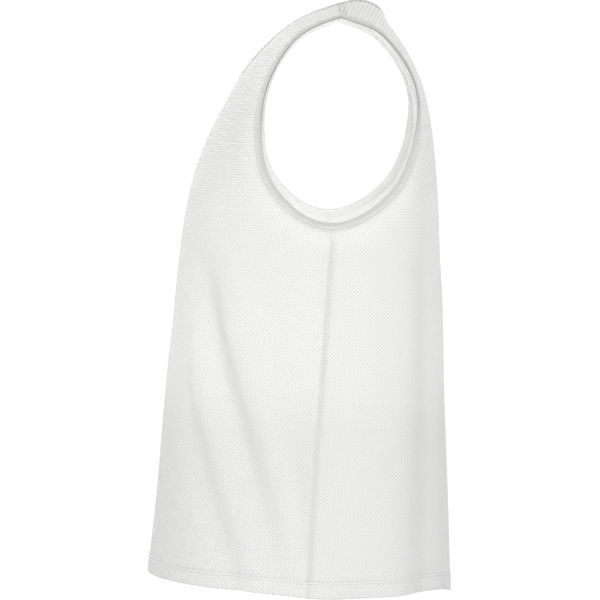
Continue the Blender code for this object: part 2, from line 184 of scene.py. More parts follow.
# The cloth's rows and columns: close together at edges, where seams and stitches shape it.
CLOTH = 0.6 * MM
EDGE_BAND = np.array((0, .6, 1.2, 1.9, 2.7, 3.6, 4.8, 6.2, 8.0, 10.5)) * MM
MIDDLE_COLUMNS = 78
HEM_BAND = np.array((0, .12, .45, 1.1, 2.4, 4.5, 7.5, 11, 14, 16.2, 17.2, 17.8, 18.4, 19.4,
                     20.4, 21.2, 21.8, 22.4, 23.4, 25, 27.5)) * MM
BODY_ROWS = 112
CHEST_ROWS = 44
STRAP_ROWS = 56
UNDERARM_ROW = len(HEM_BAND) - 1 + BODY_ROWS
NECK_ROW = UNDERARM_ROW + CHEST_ROWS
BEZIER_STEPS = 96
FLAT_STEP = 4
FLAP_AREA_SHARE = 0.98
SMOOTH_ANGLE = math.radians(50)
# The column or row that tells which way an edge's own cloth lies.
INSIDE_COLUMN = 3

# Distances that each point of the cloth carries for the shader, and their reach.
MARKS = ("above_hem", "from_seam", "from_edge", "from_neck", "allowance")
EDGE_REACH = 32 * MM

HEM_FLAP = 20.4 * MM
HEM_LAYER = 0.55 * MM
HEM_FOLD = 0.72
HEM_RELEASE = 6.0 * MM
HEM_NEEDLES = (18.0 * MM, 21.9 * MM)

SEAM_DIP = 0.28 * MM
SEAM_DIP_WIDTH = 2.2 * MM
SEAM_ALLOWANCE = 6.5 * MM
SEAM_LIFT = 0.55 * MM
SEAM_START = 24 * MM
PUCKER = 0.22 * MM
PUCKER_PITCH = 9.0 * MM
PUCKER_REACH = 9.0 * MM
# Rim of a seam's allowance: distance from the seam, height from the middle of the wall.
ALLOWANCE_RIM = np.array(((1.4, -.75), (2.6, -.50), (4.5, -.45), (6.4, -.55),
                          (6.6, -1.10), (4.5, -1.20), (2.6, -1.25), (1.4, -1.35))) * MM
ALLOWANCE_CAP = np.array(((0, 1, 6, 7), (1, 2, 5, 6), (2, 3, 4, 5)))
OVERLOCK_SIDES = (2.2 * MM, 6.2 * MM)
OVERLOCK_DEPTH = 1.5 * MM
OVERLOCK_PITCH = 2.6 * MM

# kind: width across, roll towards the inside
BANDS = {
    "armhole": (7.2 * MM, math.radians(42)),
    "neck":    (6.8 * MM, math.radians(18)),
}
# Rim of a folded strip: distance from the panel's edge, height from the middle of the wall.
BAND_RIM = np.array((
    (-1.6, .50), (-1.6, .92), (-0.9, 1.04), (0.6, 1.08), (2.4, 1.10), (4.2, 1.12), (5.6, 1.08),
    (6.5, .90), (7.0, .50), (7.2, 0), (7.0, -.50), (6.5, -.90), (5.6, -1.08), (4.2, -1.12),
    (2.4, -1.10), (0.6, -1.08), (-0.9, -1.04), (-1.6, -.92), (-1.6, -.50), (0, -.46),
    (3.2, -.42), (4.6, -.25), (5.0, 0), (4.6, .25), (3.2, .42), (0, .46),
)) * MM
# The rim's points at the outer needle row and at the strip's tip.
BAND_RIM_NEEDLE = 3
BAND_RIM_TIP = 9
BAND_STEP = 1.6 * MM
BAND_RIPPLE = 0.07 * MM
BAND_RIPPLE_PITCH = 7 * MM
BAND_RIPPLE_START = 4 * MM
# A needle row's distance from the panel's edge, and the thread's height over the wall's middle.
BAND_NEEDLES = ((0.6 * MM, 1.12 * MM), (-3.2 * MM, 0.36 * MM))

STITCH_LENGTH = 2.5 * MM
STITCH_PITCH = 3.1 * MM
THREAD = 0.34 * MM
THREAD_FLATNESS = 0.8
THREAD_LIFT = 0.12 * MM
LOOPER_LIFT = 0.20 * MM

EYELET_CELL = (5.2 * MM, 3.9 * MM)
EYELET_OPEN = (0.10 * MM, 0.30 * MM)
EYELET_RIM = (0.25 * MM, 1.25 * MM)
EYELET_SLANT = 0.45
WALE = 0.65 * MM

# The knit's courses as the shoulders draw them: level in front, and fanned out round a point
# (towards the back, up) behind. Each zone begins and ends over the heights given.
LEVEL_COURSE = 2.9 * MM
LEVEL_ZONE = (0.40, 0.46)
LEVEL_TURNING = (-0.045, -0.025)
FAN_COURSE = 0.0158
FAN_MIDDLE = (-0.111, -0.248)
FAN_ZONE = (0.44, 0.54)
# High on the body the courses are drawn in relief and also painted darker and with stronger lines,
# a painted shade where the straps tilt away.
DRAWN_ZONE = (0.42, 0.62)

# How far the other details reach, and the heights over which they begin.
DOUBLED_REACH = (19 * MM, 22 * MM)
INSIDE_LIGHT_REACH = (14 * MM, 30 * MM)
HEM_FOLD_SHADE_REACH = (0.3 * MM, 1.5 * MM)
SEAM_SHADE_REACH, SEAM_SHADE_HEIGHTS = (0.4 * MM, 1.2 * MM), (-0.10, -0.08)
NECK_LINE_REACH, NECK_LINE_HEIGHTS = (3.0 * MM, 7.0 * MM), (-0.075, -0.02)
TAPE_FOLD_SHADE_REACH, TAPE_SIDE_SHADE_REACH = (1.2 * MM, 2.6 * MM), (4.4 * MM, 5.8 * MM)
NEEDLE_GAP = 0.9 * MM

# How much each detail covers up the eyelets' painted shade, and its relief in millimetres.
DOUBLED_COVER, INSIDE_LIGHT_COVER, DRAWN_COVER = 0.45, 0.85, 0.35
RIM_RELIEF, WALE_RELIEF, SEWN_RELIEF = 0.26, 0.04, 0.20
COURSE_RELIEF, DRAWN_RELIEF = 0.12, 0.20
TAPE_RIM_RELIEF, TAPE_WALE_RELIEF, TAPE_SEWN_RELIEF = 0.18, 0.10, 0.25
# The share of the light that passes softly through.
MESH_GLOW, TAPE_GLOW = 0.30, 0.35

# The cloth's colour between eyelets, and in them a painted shade for the darker inside seen
# through. Then what each detail adds to
# # its brightness: painted shade and stronger course lines high on the body, painted light on the
# doubled hem, and painted shade in
# # the stitch grooves, at the hem's fold, along the shoulder seams, at the neck edge and over the
# allowances.
FRONT_TONES = ((.86, .86, .855, 1), (.69, .69, .69, 1))
BACK_TONES = ((.845, .845, .84, 1), (.74, .74, .74, 1))
PAINTED_INSIDE_LIGHT_TONE = (.94, .94, .935, 1)
TAPE_TONE = (.95, .95, .945, 1)
THREAD_TONE = (.90, .90, .895, 1)
BLACK = (0, 0, 0, 1)
WHITE = (1, 1, 1, 1)
PLAIN = 0.945
COURSE_TONE = 0.01
PAINTED_DRAWN_COURSE_CONTRAST = 0.21
PAINTED_DRAWN_SHADE = -0.09
PAINTED_DOUBLED_LIGHT = 0.05
PAINTED_STITCH_SHADE = -0.10
PAINTED_HEM_FOLD_SHADE = -0.20
PAINTED_SHOULDER_SEAM_SHADE = -0.25
PAINTED_NECK_LINE_SHADE = -0.20
PAINTED_ALLOWANCE_SHADE = -0.03

# A binding's brightness: plain, painted light inside, and painted shade at the stitches and in the
# eyelets. The painted shade of
# # its fold deepens with height, and the rest of its outer side has a painted shade of its own.
TAPE_PLAIN = 0.86
PAINTED_TAPE_INSIDE_LIGHT = 0.10
PAINTED_TAPE_STITCH_SHADE = -0.11
PAINTED_TAPE_EYELET_SHADE = -0.08
# binding: fold's painted shade low down and high up, between which heights, side's painted shade
TAPE_FOLD_SHADES = {
    "armhole": ((0.02, 0.30), (-0.22, -0.07), 0.15),
    "neck":    ((0.12, 0.40), (-0.065, 0.006), 0.18),
}

CAMERA_DISTANCE = 4.0
CAMERA_ELEVATION = math.radians(3.9)
CAMERA_AIM = Vector((0, 0.001, -0.0043))
CAMERA_LENS = 196.8
CAMERA_SENSOR = 36
FLOOR_SIZE = 60
FLOOR_DROP = 1.6
FLOOR_LIGHT = 1.20
WORLD_LIGHT = 0.47
BACKDROP = 1.05
# lamp, degrees from the side towards the front, degrees up, distance, size, power in watts
LAMPS = (
    ("key_high",      2,  52, 2.2, 1.0, 10),
    ("key_level",    -2, -20, 2.8, 0.9, 16.5),
    ("camera_side",  -3,   5, 3.2, 0.6, 17.5),
    ("front_high",   82,  55, 2.0, 1.0, 11),
    ("front_edge",  115,   5, 2.4, 0.8, 3.5),
    ("back_high",   -80,  48, 2.2, 1.0, 7),
    ("inside",        0, -89, 0.15, 0.16, 0.56),
    ("far_front",   155,  20, 3.0, 1.2, 30),
    ("far_back",    210,  20, 3.0, 1.2, 33),
)


# ---- lines and paths

def unit(vectors):
    return vectors / np.linalg.norm(vectors, axis=-1, keepdims=True)


def ease(share):
    share = np.clip(share, 0, 1)
    return share * share * (3 - 2 * share)


def closed(line):
    """A line that comes back to its first point."""
    return np.vstack((line, line[:1]))


def steps_along(line):
    return np.linalg.norm(np.diff(line, axis=0), axis=1)


def reach_along(line):
    """Length from a line's start to each of its points."""
    return np.concatenate(([0], np.cumsum(steps_along(line))))


def read_at(keys, values, places):
    """Values known at rising keys, read between them at other places."""
    columns = values.reshape(len(keys), -1).T
    found = np.stack([np.interp(places, keys, column) for column in columns], axis=-1)
    return found.reshape(np.shape(places) + values.shape[1:])


def smooth_path(keys, points, at):
    """Cubic spline through the points at their keys, read at other keys."""
    gaps = np.diff(keys)
    chords = np.diff(points, axis=0) / gaps[:, None]
    system = np.eye(len(keys))
    pull = np.zeros_like(points)
    for i in range(1, len(gaps)):
        system[i, i - 1:i + 2] = gaps[i - 1], 2 * (gaps[i - 1] + gaps[i]), gaps[i]
        pull[i] = 6 * (chords[i] - chords[i - 1])
    bends = np.linalg.solve(system, pull)
    span = np.clip(np.searchsorted(keys, at, side="right") - 1, 0, len(gaps) - 1)
    gap = gaps[span][:, None]
    after = at[:, None] - keys[span][:, None]
    before = gap - after
    straight = (before * points[span] + after * points[span + 1]) / gap
    bent = ((before ** 3 / gap - before * gap) * bends[span]
            + (after ** 3 / gap - after * gap) * bends[span + 1]) / 6
    return straight + bent


def cornered_path(keys, points, corner, lead, at):
    """A spline up to a corner, then one that comes smoothly from the lead points."""
    below = smooth_path(keys[:corner + 1], points[:corner + 1], at)
    own_step = np.linalg.norm(points[corner + 1] - points[corner])
    scale = (keys[corner + 1] - keys[corner]) / own_step
    lead_keys = keys[corner] - reach_along(np.vstack((points[corner], lead)))[1:] * scale
    above = smooth_path(np.concatenate((lead_keys[::-1], keys[corner:])),
                        np.vstack((lead[::-1], points[corner:])), at)
    return np.where((at <= keys[corner])[:, None], below, above)


def bezier(controls, along):
    """Points of one Bezier curve for each row of controls."""
    along = along[..., None]
    inner, near, far, outer = (controls[:, None, i] for i in range(4))
    return ((1 - along) ** 3 * inner + 3 * (1 - along) ** 2 * along * near
            + 3 * (1 - along) * along ** 2 * far + along ** 3 * outer)


def nearest(points, line):
    """Distance from each point to the nearest point of a line."""
    return np.array([np.sqrt(((line - point) ** 2).sum(axis=1).min()) for point in points])


# ---- form

class Sections:
    """The section table of one panel, as arrays."""

    def __init__(self, table):
        names = [row[0] for row in table]
        self.underarm = names.index("underarm")
        self.neck = names.index("neck")
        controls = np.array([row[1:] for row in table]) * MM
        self.inner, self.near, self.far, self.outer = controls.swapaxes(0, 1)
        outer_steps = steps_along(self.outer)
        steps = (steps_along(self.inner) + outer_steps) / 2
        steps[:self.underarm] = outer_steps[:self.underarm]
        self.keys = np.concatenate(([0], np.cumsum(steps)))

    def rows(self):
        """Keys of the cloth's rows, from the hem to the shoulder."""
        underarm, neck, shoulder = self.keys[[self.underarm, self.neck, -1]]
        return np.concatenate((
            HEM_BAND,
            np.linspace(HEM_BAND[-1], underarm, BODY_ROWS + 1)[1:],
            np.linspace(underarm, neck, CHEST_ROWS + 1)[1:],
            np.linspace(neck, shoulder - EDGE_BAND[-1], STRAP_ROWS + 1)[1:],
            shoulder - EDGE_BAND[-2::-1],
        ))

    def grid(self, other, rows):
        """Points of the panel's left half, with a close band of columns at both edges."""
        mirrored = self.inner[self.neck + 1:self.neck + 3] * (-1, 1, 1)
        beyond = other.outer[other.underarm + 1:other.underarm + 3]
        controls = np.stack((
            cornered_path(self.keys, self.inner, self.neck, mirrored, rows),
            smooth_path(self.keys, self.near, rows),
            smooth_path(self.keys, self.far, rows),
            cornered_path(self.keys, self.outer, self.underarm, beyond, rows),
        ), axis=1)
        along = np.linspace(0, 1, BEZIER_STEPS)
        curves = bezier(controls, np.broadcast_to(along, (len(rows), BEZIER_STEPS)))
        lengths = np.array([reach_along(curve) for curve in curves])
        width = lengths[:, -1:]
        middle = np.linspace(0, 1, MIDDLE_COLUMNS + 1)[None, 1:-1]
        places = np.concatenate((
            EDGE_BAND + 0 * width,
            EDGE_BAND[-1] + (width - 2 * EDGE_BAND[-1]) * middle,
            width - EDGE_BAND[::-1],
        ), axis=1)
        found = np.array([np.interp(place, length, along)
                          for place, length in zip(places, lengths)])
        return bezier(controls, found), places / width, width - places


def fold_push(around, height):
    """How far the largest folds move the cloth outwards."""
    push = np.zeros_like(height)
    for _name, round_top, high, round_foot, low, depth, half_width in FOLDS:
        below = high * MM - height
        share = below / ((high - low) * MM)
        middle = round_top + (round_foot - round_top) * np.clip(share, 0, 1)
        across = np.abs(around - middle)
        across = np.minimum(across, 4 - across) * QUARTER_GIRTH
        push += depth * MM * ease(below / FOLD_FADE) * np.exp(-(across / (half_width * MM)) ** 2)
    return push


def crease_push(around, height):
    """How far the finer creases move the cloth outwards."""
    push = np.zeros_like(height)
    for crease in CREASES.values():
        crease = np.array(crease)
        best = np.full_like(height, np.inf)
        effect = np.zeros_like(height)
        for start, change in zip(crease, np.diff(crease, axis=0)):
            turn = np.round((around - start[0]) / 4) * 4
            across = (around - turn - start[0]) * QUARTER_GIRTH
            down = height - start[1] * MM
            run = change[:2] * (QUARTER_GIRTH, MM)
            share = np.clip((across * run[0] + down * run[1]) / (run @ run), 0, 1)
            distance = np.hypot(across - share * run[0], down - share * run[1])
            depth, half_width = (start[i] + change[i] * share for i in (2, 3))
            here = depth * MM * np.exp(-(distance / (half_width * MM)) ** 2)
            nearer = distance < best
            effect = np.where(nearer, here, effect)
            best = np.where(nearer, distance, best)
        push += effect
    return push


def back_dip(grid):
    """How much lower the back hangs towards the middle of its hem."""
    rise = np.clip((grid[:, :, 2] - grid[0, 0, 2]) / BACK_DIP_RISE, 0, 1)
    return BACK_DIP * (1 - rise) ** 2 * np.exp(-(grid[:, :, 0] / BACK_DIP_SPREAD) ** 2)


def over_allowance(away):
    """1 where a seam's allowance lies behind the cloth."""
    return ease(away / (1.5 * MM)) * ease((SEAM_ALLOWANCE + 2 * MM - away) / (2 * MM))


class Half:
    """One half of a panel: its rows, its grid of points and their outward normals."""

    def __init__(self, sections, other, side, is_front):
        self.is_front = is_front
        self.turn = side if is_front else -side
        self.rows = sections.rows()
        grid, shares, self.to_seam = sections.grid(other, self.rows)
        self.around = side * (shares if is_front else 2 - shares)
        self.grid = grid * (side, 1, 1)
        if not is_front:
            self.grid[:, :, 2] -= back_dip(self.grid)
        self.normals = self.find_normals(self.grid)

    def find_normals(self, grid):
        rise = np.gradient(grid, axis=0)
        run = np.gradient(grid, axis=1)
        return unit(np.cross(run, rise)) * self.turn

    def fold(self, push):
        self.grid += self.normals * push(self.around, self.grid[:, :, 2])[:, :, None]
        self.normals = self.find_normals(self.grid)

    def measure(self, armhole, neck):
        """Gives each point its marks: how far it lies from the hem, seams and openings."""
        above_hem, to_shoulder = (np.broadcast_to(keys[:, None], self.to_seam.shape)
                                  for keys in (self.rows, self.rows[-1] - self.rows))
        body = np.arange(len(self.rows))[:, None] <= UNDERARM_ROW
        self.to_join = np.where(body, np.minimum(self.to_seam, to_shoulder), to_shoulder)
        reach = []
        for line in (armhole, neck):
            low, high = line.min(axis=0) - EDGE_REACH, line.max(axis=0) + EDGE_REACH
            found = ((self.grid > low) & (self.grid < high)).all(axis=2)
            away = np.full(self.to_seam.shape, EDGE_REACH)
            away[found] = np.minimum(EDGE_REACH, nearest(self.grid[found], line))
            reach.append(away)
        allowance = over_allowance(self.to_join) * (not self.is_front)
        self.marks = np.stack((above_hem, self.to_join, np.minimum(*reach), reach[1], allowance),
                              axis=-1)


def share_normals(one, other):
    """Gives two edges that meet the mean of their normals."""
    mean = unit(one + other)
    one[...] = mean
    other[...] = mean


def share_seam_normals(halves):
    """Shares the normals along the side seams, the shoulder seams and the centre lines."""
    for side in (1, -1):
        front, back = halves["front", side].normals, halves["back", side].normals
        share_normals(front[:UNDERARM_ROW + 1, -1], back[:UNDERARM_ROW + 1, -1])
        share_normals(front[-1], back[-1])
    for panel in ("front", "back"):
        left, right = halves[panel, 1].normals, halves[panel, -1].normals
        share_normals(left[:NECK_ROW + 1, 0], right[:NECK_ROW + 1, 0])


def make_halves():
    """Front and back halves on both sides, folded, with edges that meet."""
    front_sections = Sections(FRONT_SECTIONS)
    back_sections = Sections(BACK_SECTIONS)
    halves = {}
    for side in (1, -1):
        halves["front", side] = Half(front_sections, back_sections, side, True)
        halves["back", side] = Half(back_sections, front_sections, side, False)
    share_seam_normals(halves)
    for push in (fold_push, crease_push):
        for half in halves.values():
            half.fold(push)
        share_seam_normals(halves)
    return halves


# ---- meshes

def add_object(name, data):
    made = bpy.data.objects.new(name, data)
    bpy.context.collection.objects.link(made)
    return made


def discard(piece):
    mesh = piece.data
    bpy.data.objects.remove(piece, do_unlink=True)
    bpy.data.meshes.remove(mesh)


def make_piece(name, mesh, material):
    mesh.materials.append(material)
    mesh.shade_smooth()
    mesh.set_sharp_from_angle(angle=SMOOTH_ANGLE)
    return add_object(name, mesh)


def make_mesh(name, vertices, faces):
    """A mesh from arrays of points and of four-sided faces."""
    mesh = bpy.data.meshes.new(name)
    faces = np.asarray(faces, dtype=np.int32)
    mesh.vertices.add(len(vertices))
    mesh.vertices.foreach_set("co", np.asarray(vertices, dtype=np.float32).ravel())
    mesh.loops.add(faces.size)
    mesh.loops.foreach_set("vertex_index", faces.ravel())
    mesh.polygons.add(len(faces))
    mesh.polygons.foreach_set("loop_start", np.arange(0, faces.size, 4, dtype=np.int32))
    mesh.update(calc_edges=True)
    mesh.validate()
    return mesh


def grid_faces(index, turn):
    """Faces of a grid of vertex numbers."""
    quads = np.stack((index[:-1, :-1], index[:-1, 1:], index[1:, 1:], index[1:, :-1]), axis=-1)
    return quads.reshape(-1, 4)[:, ::turn]


def joined_faces(pair, shape, neck):
    """Vertex numbers of two halves that share the centre line up to the neck, and their faces."""
    numbers = np.arange(2 * shape[0] * shape[1]).reshape(2, *shape)
    numbers[1, :neck + 1, 0] = numbers[0, :neck + 1, 0]
    faces = np.concatenate([grid_faces(index, half.turn) for index, half in zip(numbers, pair)])
    used, faces = np.unique(faces, return_inverse=True)
    return numbers, used, faces.reshape(-1, 4)


def corner_vertices(mesh):
    corners = np.empty(len(mesh.loops), dtype=np.int32)
    mesh.loops.foreach_get("vertex_index", corners)
    return corners


def set_map(mesh, places):
    """Gives each corner its place in the flat cut."""
    layer = mesh.uv_layers.new(name="cut")
    layer.data.foreach_set("uv", places.astype(np.float32).ravel())


def set_mark(mesh, name, values):
    mark = mesh.attributes.new(name=name, type="FLOAT", domain="POINT")
    mark.data.foreach_set("value", values.astype(np.float32))


# ---- flat cut

def lay_flat(name, points, faces):
    """Unrolls a form: its points' places in the plane, at its true area, and that area."""
    mesh = make_mesh(name, points, faces)
    piece = add_object(name, mesh)
    bpy.ops.object.select_all(action="DESELECT")
    piece.select_set(True)
    bpy.context.view_layer.objects.active = piece
    mesh.uv_layers.new(name="cut")
    bpy.ops.object.mode_set(mode="EDIT")
    bpy.ops.mesh.select_all(action="SELECT")
    bpy.ops.uv.unwrap(method="MINIMUM_STRETCH", margin=0)
    bpy.ops.object.mode_set(mode="OBJECT")
    laid = np.empty(len(mesh.loops) * 2, dtype=np.float32)
    mesh.uv_layers["cut"].data.foreach_get("uv", laid)
    places = np.zeros((len(points), 2))
    places[corner_vertices(mesh)] = laid.reshape(-1, 2)
    area = sum(polygon.area for polygon in mesh.polygons)
    discard(piece)
    quads = places[faces]
    across = quads[:, 2] - quads[:, 0]
    up = quads[:, 3] - quads[:, 1]
    laid_area = np.abs(across[:, 0] * up[:, 1] - across[:, 1] * up[:, 0]).sum() / 2
    return places * math.sqrt(area / laid_area), float(area)


def flat_cut(pair, name):
    """Gives each of a panel's points its place in the cut: the cut's width, length and area."""
    height, width = pair[0].grid.shape[:2]
    rows = np.unique((*range(0, height, FLAT_STEP), NECK_ROW, height - 1))
    columns = np.unique((*range(0, width, FLAT_STEP), width - 1))
    neck = int(np.searchsorted(rows, NECK_ROW))
    numbers, used, faces = joined_faces(pair, (len(rows), len(columns)), neck)
    points = np.concatenate([half.grid[np.ix_(rows, columns)].reshape(-1, 3) for half in pair])
    laid = np.zeros((len(points), 2))
    laid[used], area = lay_flat(name, points[used], faces)
    low, high, side = laid[numbers[0, (0, neck, 0), (0, 0, -1)]]
    upright = unit(high - low)
    sideways = np.array((upright[1], -upright[0]))
    sideways *= np.sign(sideways @ (side - low))
    laid = np.stack(((laid - low) @ sideways, (laid - low) @ upright), axis=-1)
    for half, index in zip(pair, numbers):
        wide = read_at(columns, laid[index].swapaxes(0, 1), np.arange(width)).swapaxes(0, 1)
        half.cut = read_at(rows, wide, np.arange(height))
    return *np.ptp(laid[used], axis=0).tolist(), area


# ---- cloth panels

def seam_offset(half):
    """How the seams and their allowances shape the cloth beside them."""
    offset = -SEAM_DIP * np.exp(-(half.to_join / SEAM_DIP_WIDTH) ** 2)
    if not half.is_front:
        offset += SEAM_LIFT * over_allowance(half.to_join)
    turns = half.grid[:, -1:, 2] / PUCKER_PITCH * TURN
    wave = np.sin(turns) + 0.6 * np.sin(turns * 0.685 + 1)
    return offset + PUCKER * wave * np.exp(-(half.to_join / PUCKER_REACH) ** 2)


def cloth_rows(keys):
    """Row numbers and layer offsets, from the hem's raw edge round the fold and up."""
    layers = [(row, -HEM_LAYER) for row in range(len(HEM_BAND) - 1, 1, -1)
              if keys[row] <= HEM_FLAP]
    layers += [(1, -HEM_FOLD * HEM_LAYER), (0, 0.0), (1, HEM_FOLD * HEM_LAYER)]
    for row in range(2, len(keys)):
        release = ease((keys[row] - HEM_NEEDLES[1]) / HEM_RELEASE)
        layers.append((row, HEM_LAYER * (1 - release)))
    rows, offsets = zip(*layers)
    return np.array(rows), np.array(offsets)


def make_cloth(name, pair, material):
    """A panel's sheet, with the hem folded inside."""
    rows, layer = cloth_rows(pair[0].rows)
    flap = slice(0, int(np.argmin(rows)))
    neck = int(np.flatnonzero(rows == NECK_ROW)[-1])
    sheets, facings, cuts = [], [], []
    for half in pair:
        offset = seam_offset(half)[rows] * np.sign(layer + CLOTH / 2)[:, None] + layer[:, None]
        sheets.append(half.grid[rows] + half.normals[rows] * offset[:, :, None])
        facings.append(half.find_normals(sheets[-1]))
        cut = half.cut[rows]
        cut[flap] = 2 * half.cut[0] - cut[flap]
        cuts.append(cut)
    share_normals(*(facing[:neck + 1, 0] for facing in facings))
    _numbers, used, faces = joined_faces(pair, sheets[0].shape[:2], neck)
    marks = [half.marks[rows] for half in pair]
    points, facings, places, marks = (
        np.concatenate([part.reshape(-1, part.shape[-1]) for part in parts])[used]
        for parts in (sheets, facings, cuts, marks))
    total = len(points)
    ways = np.stack((faces, np.roll(faces, -1, axis=1)), axis=-1).reshape(-1, 2)
    border = ways[~np.isin(ways @ (total, 1), ways @ (1, total))]
    rim = np.hstack((border[:, ::-1], border + total))
    half_wall = facings * CLOTH / 2
    mesh = make_mesh(name, np.concatenate((points + half_wall, points - half_wall)),
                     np.concatenate((faces, faces[:, ::-1] + total, rim)))
    set_map(mesh, np.concatenate((places, places))[corner_vertices(mesh)])
    for mark, values in zip(MARKS, marks.T):
        set_mark(mesh, mark, np.concatenate((values, values)))
    set_mark(mesh, "inner_wall", np.repeat((0, 1), total))
    return make_piece(name, mesh, material)


# ---- bindings and seams

def leaving(edge, along, normals, inside):
    """Directions in the cloth, square to an edge and away from the points inside."""
    across = unit(np.cross(normals, along))
    facing = np.sum(across * (edge - inside), axis=-1, keepdims=True)
    return np.where(facing < 0, -across, across)


def winding(across, along, normal):
    """The order of corners that makes the faces of a rim along an edge look outwards."""
    return -1 if np.cross(across, along) @ normal > 0 else 1


def edge_at(half, place, inside):
    """A line on the cloth: its points, the normals there and the points inside it."""
    return np.stack((half.grid[place], half.normals[place], half.grid[inside]))


def armhole_edge(halves, side):
    """Closed armhole edge: up the front to the shoulder, then down the back."""
    parts = [edge_at(halves[panel, side], (rows, -1), (rows, -1 - INSIDE_COLUMN))
             for panel, rows in (("front", slice(UNDERARM_ROW, None)),
                                 ("back", slice(-2, UNDERARM_ROW, -1)))]
    return np.hstack(parts)


def neck_edge(halves):
    """Closed neck edge: left front, left back, right back and right front."""
    rows = slice(NECK_ROW, None)
    left_front, left_back, right_back, right_front = (
        edge_at(halves[key], (rows, 0), (rows, INSIDE_COLUMN))
        for key in (("front", 1), ("back", 1), ("back", -1), ("front", -1)))
    return np.hstack((left_front, left_back[:, -2::-1], right_back[:, 1:],
                      right_front[:, -2:0:-1]))


class Strip:
    """The way that a folded strip runs round an opening's edge."""

    def __init__(self, kind, lines):
        loops = [closed(line) for line in lines]
        reach = reach_along(loops[0])
        count = round(reach[-1] / BAND_STEP)
        at = np.arange(count) * reach[-1] / count
        self.edge, normals, inside = (read_at(reach, loop, at) for loop in loops)
        for _ in range(2):
            normals = (np.roll(normals, 1, axis=0) + 2 * normals + np.roll(normals, -1, axis=0)) / 4
        self.normals = unit(normals)
        along = np.roll(self.edge, -1, axis=0) - np.roll(self.edge, 1, axis=0)
        self.away = leaving(self.edge, along, self.normals, inside)
        width, roll = BANDS[kind]
        self.radius = width / roll

    def place(self, distance, height):
        """Points at a distance out of the edge and a height over the rolled strip."""
        angle = max(distance, 0) / self.radius
        out = (self.radius + height) * math.sin(angle) + min(distance, 0)
        up = (self.radius + height) * math.cos(angle) - self.radius
        return self.edge + self.away * out + self.normals * up

    def facing(self, distance):
        angle = max(distance, 0) / self.radius
        return self.away * math.sin(angle) + self.normals * math.cos(angle)


def make_band(name, strip, material):
    """A strip folded over an edge, as a closed ring."""
    count, sides = len(strip.edge), len(BAND_RIM)
    turns = np.arange(count) / count * TURN
    pitches = round(count * BAND_STEP / BAND_RIPPLE_PITCH)
    ripple = np.sin(turns * pitches) + 0.5 * np.sin(turns * (pitches * 1.7 // 1) + 2)
    rings = []
    for distance, height in BAND_RIM:
        bulge = BAND_RIPPLE * ripple * np.clip(distance / BAND_RIPPLE_START, 0, 1)
        rings.append(strip.place(distance, height) + strip.facing(distance) * bulge[:, None])
    index = np.pad(np.arange(count * sides).reshape(count, sides), (0, 1), mode="wrap")
    turn = winding(strip.away[0], strip.edge[1] - strip.edge[0], strip.normals[0])
    mesh = make_mesh(name, np.stack(rings, axis=1).reshape(-1, 3), grid_faces(index, turn))
    girth = reach_along(closed(BAND_RIM))
    places = np.meshgrid(reach_along(closed(strip.edge)), girth, indexing="ij")
    corners = grid_faces(np.arange(index.size).reshape(index.shape), turn)
    set_map(mesh, np.stack(places, axis=-1).reshape(-1, 2)[corners])
    return make_piece(name, mesh, material)


def seam_line(half, kind):
    """A seam's points, the cloth's normals there and the way into the back panel."""
    if kind == "side":
        rows = slice(int(np.argmax(half.rows > SEAM_START)), UNDERARM_ROW - INSIDE_COLUMN)
        line, normals, inside = edge_at(half, (rows, -1), (rows, -1 - INSIDE_COLUMN))
    else:
        columns = slice(2, -2)
        line, normals, inside = edge_at(half, (-1, columns), (-1 - INSIDE_COLUMN, columns))
    return line, normals, -leaving(line, np.gradient(line, axis=0), normals, inside)


def make_allowance(name, half, kind, material):
    """A seam's two raw edges, sewn together and pressed towards the back."""
    line, normals, inward = seam_line(half, kind)
    grid = np.stack([line + inward * distance + normals * height
                     for distance, height in ALLOWANCE_RIM], axis=1)
    index = np.arange(grid.shape[0] * grid.shape[1]).reshape(grid.shape[:2])
    turn = winding(inward[0], line[1] - line[0], normals[0])
    first, last = index[0][ALLOWANCE_CAP], index[-1][ALLOWANCE_CAP]
    faces = np.concatenate((grid_faces(np.hstack((index, index[:, :1])), turn),
                            first[:, ::-turn], last[:, ::turn]))
    mesh = make_mesh(name, grid.reshape(-1, 3), faces)
    places = np.meshgrid(reach_along(line), ALLOWANCE_RIM[:, 0], indexing="ij")
    set_map(mesh, np.stack(places, axis=-1).reshape(-1, 2)[corner_vertices(mesh)])
    return make_piece(name, mesh, material)


# ---- stitches

def stitch_shape():
    """One stitch, two units long, wide and high: its points and its faces."""
    bpy.ops.mesh.primitive_cube_add(size=2)
    shape = bpy.context.object
    shape.modifiers.new("round", "SUBSURF").levels = 1
    bpy.ops.object.modifier_apply(modifier="round")
    points = np.array([vertex.co for vertex in shape.data.vertices])
    faces = np.array([face.vertices for face in shape.data.polygons])
    discard(shape)
    return points / np.abs(points).max(axis=0), faces


def running_stitches(line, normals):
    """A row of stitches along a line: their centres, directions, normals and lengths."""
    reach = reach_along(line)
    count = int(reach[-1] / STITCH_PITCH)
    at = (np.arange(count) + 0.5) * reach[-1] / count
    start, end = (read_at(reach, line, at + way * STITCH_LENGTH / 2) for way in (-1, 1))
    facing = unit(read_at(reach, normals, at))
    return (start + end) / 2, unit(end - start), facing, np.full(count, STITCH_LENGTH)


def slanted_stitches(one, other, normals, pitch):
    """Threads that zigzag between two lines."""
    reach = reach_along((one + other) / 2)
    count = int(reach[-1] / pitch)
    at = np.arange(count + 1) * reach[-1] / count
    first, second = read_at(reach, one, at), read_at(reach, other, at + pitch / 2)
    starts = np.concatenate((first[:-1], second[:-1]))
    ends = np.concatenate((second[:-1], first[1:]))
    facing = unit(read_at(reach, normals, np.tile(at[:-1], 2)))
    return (starts + ends) / 2, unit(ends - starts), facing, np.linalg.norm(ends - starts, axis=1)


